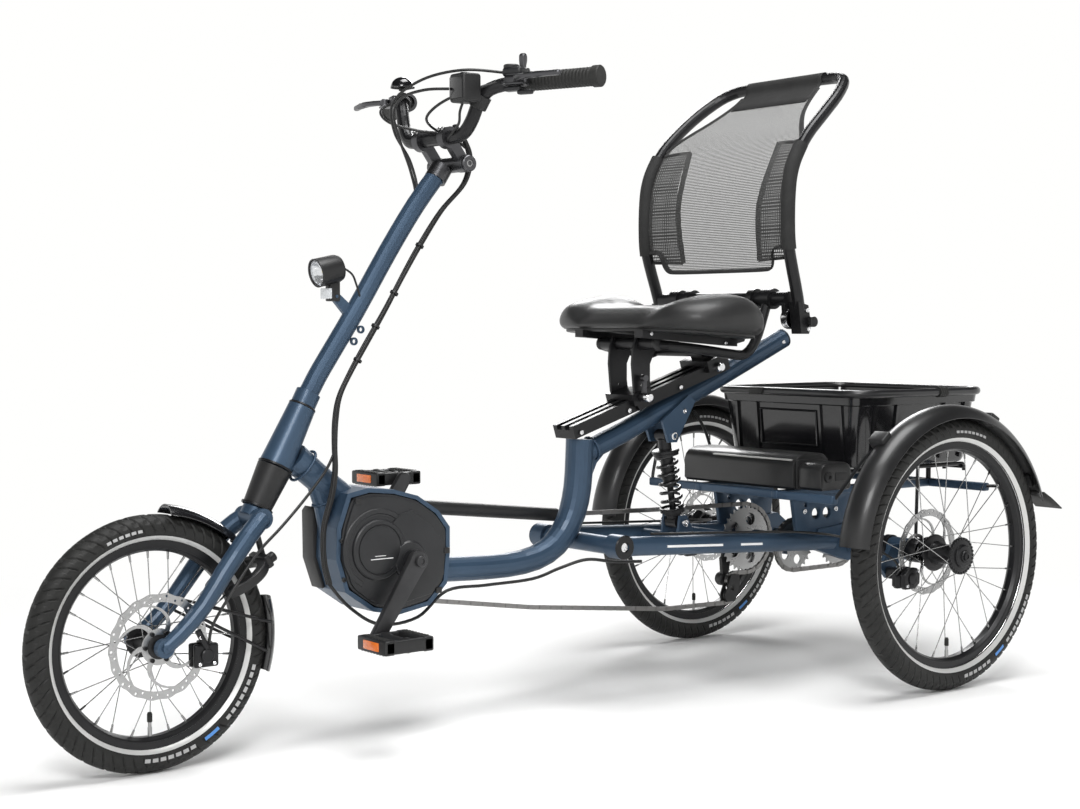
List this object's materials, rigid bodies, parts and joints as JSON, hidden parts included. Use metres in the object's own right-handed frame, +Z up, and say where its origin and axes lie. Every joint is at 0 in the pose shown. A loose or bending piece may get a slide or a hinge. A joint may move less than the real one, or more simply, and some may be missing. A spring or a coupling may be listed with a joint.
{
  "type": "adult tricycle",
  "caption": "Adult tricycle with a low step-through frame, small front wheel, pedal motor, sprung rear end, sliding mesh-back seat, rear crate and battery.",
  "frame": {"origin": "centre of the bounding box on the ground, under the tricycle", "axes": "+Y points to the back along its length, +X to the rider's left, +Z up"},
  "size_m": [0.77, 1.9189, 1.1469],
  "materials": {
    "frame_paint": "matte",
    "black_metal": "satin",
    "black_plastic": "satin",
    "gloss_black": "gloss",
    "polished_alloy": "polished",
    "grey_alloy": "satin",
    "steel": "brushed",
    "tyre_rubber": "matte",
    "grip_rubber": "matte",
    "seat_cover": "satin",
    "mesh_fabric": "matte",
    "cable_rubber": "satin"
  },
  "bodies": {
    "frame": {"main_frame": "frame_paint", "motor_unit": "black_plastic", "chain_guard_tube": "black_plastic", "seat_rail": "black_metal", "head_bearings": "steel"},
    "steering": {"fork": "frame_paint", "steering_column": "frame_paint", "headset_cone": "black_plastic", "front_fender": "black_plastic", "front_caliper": "black_metal", "ring_lock": "black_plastic", "stem_base": "grey_alloy", "control_cables": "cable_rubber"},
    "lock_bolt": {"lock_shackle": "steel"},
    "bars": {"stem_clamp": "grey_alloy", "handlebar": "black_metal", "grips": "grip_rubber", "brake_housings": "black_metal", "display_pod": "black_plastic", "bell": "gloss_black"},
    "left_brake_lever": {"brake_lever_left": "grey_alloy"},
    "right_brake_lever": {"brake_lever_right": "grey_alloy"},
    "shifter": {"shift_lever": "black_plastic"},
    "bell_thumb_lever": {"bell_lever": "black_plastic"},
    "display_button": {"pod_button": "black_plastic"},
    "lamp": {"headlight": "black_plastic"},
    "front_wheel": {"front_tyre": "tyre_rubber", "front_rim": "polished_alloy", "front_hub": "grey_alloy", "front_rotor": "steel"},
    "left_wheel": {"left_tyre": "tyre_rubber", "left_rim": "polished_alloy", "left_hub": "grey_alloy", "left_rotor": "steel"},
    "right_wheel": {"right_tyre": "tyre_rubber", "right_rim": "polished_alloy", "right_hub": "grey_alloy", "right_rotor": "steel"},
    "crank": {"crank_set": "black_metal"},
    "left_pedal": {"pedal_left": "black_plastic"},
    "right_pedal": {"pedal_right": "black_plastic"},
    "seat": {"seat_bracket": "black_metal", "seat_frame": "black_metal", "seat_cushion": "seat_cover"},
    "seat_lever": {"seat_clamp_lever": "grey_alloy"},
    "backrest": {"backrest_frame": "black_metal", "backrest_mesh": "mesh_fabric"},
    "rear_end": {"swingarm": "frame_paint", "rack": "frame_paint", "crate": "gloss_black", "rear_fenders": "black_plastic", "rear_calipers": "black_metal", "derailleur": "black_metal", "drive_chains": "steel"},
    "chain_guide": {"derailleur_cage": "black_metal"},
    "battery_pack": {"battery": "black_plastic"},
    "jackshaft_unit": {"jackshaft": "steel"},
    "shock_upper": {"shock_body": "black_metal", "shock_spring": "black_metal"},
    "shock_lower": {"shock_shaft": "black_metal"}
  },
  "joints": [
    {"name": "steer", "type": "hinge", "parent": "frame", "child": "steering", "pos_m": [0, -0.583, 0.385], "axis": [0, 0.4695, 0.8829], "range_deg": [-45, 45], "deforming": ["control_cables"]},
    {"name": "lock_turn", "type": "hinge", "parent": "steering", "child": "lock_bolt", "pos_m": [0, -0.61778, 0.2795], "axis": [0, -0.5, 0.866], "range_deg": [-92, 0]},
    {"name": "stem_tilt", "type": "hinge", "parent": "steering", "child": "bars", "pos_m": [0, -0.213, 0.936], "axis": [1, 0, 0], "range_deg": [-12, 14]},
    {"name": "brake_left", "type": "hinge", "parent": "bars", "child": "left_brake_lever", "pos_m": [0.1932, -0.21811, 1.058], "axis": [0, 0, 1], "range_deg": [0, 20], "stiffness_Nm_per_rad": 1, "springref_deg": -5.73},
    {"name": "brake_right", "type": "hinge", "parent": "bars", "child": "right_brake_lever", "pos_m": [-0.1932, -0.21811, 1.058], "axis": [0, 0, -1], "range_deg": [0, 20], "stiffness_Nm_per_rad": 1, "springref_deg": -5.73},
    {"name": "shift", "type": "hinge", "parent": "bars", "child": "shifter", "pos_m": [0.15521, -0.18014, 1.076], "axis": [0.9346, 0.3557, 0], "range_deg": [-18, 14], "stiffness_Nm_per_rad": 0.2},
    {"name": "bell_flick", "type": "hinge", "parent": "bars", "child": "bell_thumb_lever", "pos_m": [-0.128, -0.225, 1.072], "axis": [0, 0, 1], "range_deg": [-5, 35], "stiffness_Nm_per_rad": 0.1},
    {"name": "button_press", "type": "slide", "parent": "bars", "child": "display_button", "axis": [0, 0, -1], "range_m": [0, 0.0012], "stiffness_N_per_m": 300, "springref_m": -0.0005},
    {"name": "lamp_tilt", "type": "hinge", "parent": "steering", "child": "lamp", "pos_m": [0, -0.44, 0.716], "axis": [1, 0, 0], "range_deg": [-12, 12]},
    {"name": "front_wheel_spin", "type": "hinge", "parent": "steering", "child": "front_wheel", "pos_m": [0, -0.765, 0.1945], "axis": [1, 0, 0], "continuous": true},
    {"name": "left_wheel_spin", "type": "hinge", "parent": "rear_end", "child": "left_wheel", "pos_m": [0.341, 0.657, 0.25], "axis": [1, 0, 0], "continuous": true},
    {"name": "right_wheel_spin", "type": "hinge", "parent": "rear_end", "child": "right_wheel", "pos_m": [-0.341, 0.657, 0.25], "axis": [1, 0, 0], "continuous": true},
    {"name": "crank_spin", "type": "hinge", "parent": "frame", "child": "crank", "pos_m": [0, -0.335, 0.292], "axis": [1, 0, 0], "continuous": true},
    {"name": "left_pedal_spin", "type": "hinge", "parent": "crank", "child": "left_pedal", "pos_m": [0.134, -0.41329, 0.17593], "axis": [1, 0, 0], "continuous": true},
    {"name": "right_pedal_spin", "type": "hinge", "parent": "crank", "child": "right_pedal", "pos_m": [-0.134, -0.25671, 0.40807], "axis": [1, 0, 0], "continuous": true},
    {"name": "seat_slide", "type": "slide", "parent": "frame", "child": "seat", "axis": [0, 0.9537, 0.3007], "range_m": [-0.1, 0.015]},
    {"name": "seat_lever_turn", "type": "hinge", "parent": "seat", "child": "seat_lever", "pos_m": [0.046, 0.176, 0.541], "axis": [1, 0, 0], "range_deg": [0, 120]},
    {"name": "recline", "type": "hinge", "parent": "seat", "child": "backrest", "pos_m": [0, 0.425, 0.682], "axis": [1, 0, 0], "range_deg": [-18, 12]},
    {"name": "suspension", "type": "hinge", "parent": "frame", "child": "rear_end", "pos_m": [0, 0.066, 0.286], "axis": [1, 0, 0], "range_deg": [0, 4], "stiffness_Nm_per_rad": 4000, "springref_deg": -2.29, "deforming": ["drive_chains"]},
    {"name": "guide_swing", "type": "hinge", "parent": "rear_end", "child": "chain_guide", "pos_m": [-0.06, 0.5, 0.17], "axis": [1, 0, 0], "range_deg": [-20, 10], "stiffness_Nm_per_rad": 0.5},
    {"name": "battery_release", "type": "slide", "parent": "rear_end", "child": "battery_pack", "axis": [1, 0, 0], "range_m": [0, 0.03]},
    {"name": "jackshaft_spin", "type": "hinge", "parent": "rear_end", "child": "jackshaft_unit", "pos_m": [0, 0.535, 0.25], "axis": [1, 0, 0], "continuous": true},
    {"name": "shock_swing", "type": "hinge", "parent": "frame", "child": "shock_upper", "pos_m": [0, 0.264, 0.467], "axis": [1, 0, 0], "range_deg": [-1, 2]},
    {"name": "shock_stroke", "type": "slide", "parent": "shock_upper", "child": "shock_lower", "axis": [0, -0.1703, 0.9854], "range_m": [0, 0.02], "deforming": ["shock_spring"]}
  ],
  "couplings": [
    {"joint": "shock_swing", "follows": "suspension", "ratio": 0.1202},
    {"joint": "shock_stroke", "follows": "suspension", "m_per_rad": 0.2259},
    {"joint": "jackshaft_spin", "follows": "left_wheel_spin", "ratio": 1}
  ]
}
